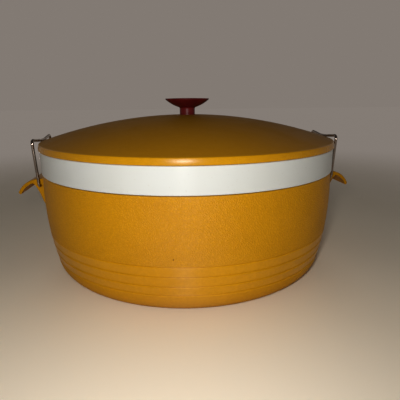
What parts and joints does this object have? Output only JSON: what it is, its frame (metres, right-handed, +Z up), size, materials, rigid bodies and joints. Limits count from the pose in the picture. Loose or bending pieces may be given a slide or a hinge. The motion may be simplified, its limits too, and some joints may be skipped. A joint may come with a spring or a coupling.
{
  "type": "insulated food carrier",
  "caption": "Round double-walled insulated serving bowl with a domed lid, a dark red knob and wire bails that swing over the lid's edge from two handle lugs.",
  "frame": {"origin": "centre of the foot ring, on the surface the bowl stands on", "axes": "+Z up along the bowl's axis, +X towards the right handle, +Y towards the back"},
  "size_m": [0.2954, 0.256, 0.1463],
  "materials": {
    "gold_shell": "moulded, fine leather grain on the wall, smooth ribs",
    "gold_plug": "satin",
    "white_liner": "satin",
    "foam": "rigid foam",
    "gold_handle": "satin",
    "wire": "polished wire",
    "gold_lid": "satin",
    "white_pan": "satin",
    "knob_red": "satin",
    "brass_insert": "plain",
    "screw_steel": "plain"
  },
  "bodies": {
    "bowl": {"outer_shell": "gold_shell", "base_plug": "gold_plug", "inner_liner": "white_liner", "body_foam": "foam", "left_handle": "gold_handle", "right_handle": "gold_handle"},
    "lid": {"lid_shell": "gold_lid", "lid_liner": "white_pan", "lid_foam": "foam", "knob": "knob_red", "knob_insert": "brass_insert", "knob_screw": "screw_steel", "knob_washer": "screw_steel"},
    "left_bail": {"left_bail": "wire"},
    "right_bail": {"right_bail": "wire"}
  },
  "joints": [
    {"name": "lid_lift", "type": "slide", "parent": "bowl", "child": "lid", "axis": [0, 0, 1], "range_m": [0, 0.24]},
    {"name": "left_bail_swing", "type": "hinge", "parent": "bowl", "child": "left_bail", "pos_m": [-0.1274, 0, 0.0752], "axis": [0, -1, 0], "range_deg": [0, 176]},
    {"name": "right_bail_swing", "type": "hinge", "parent": "bowl", "child": "right_bail", "pos_m": [0.1274, 0, 0.0752], "axis": [0, 1, 0], "range_deg": [0, 176]}
  ]
}
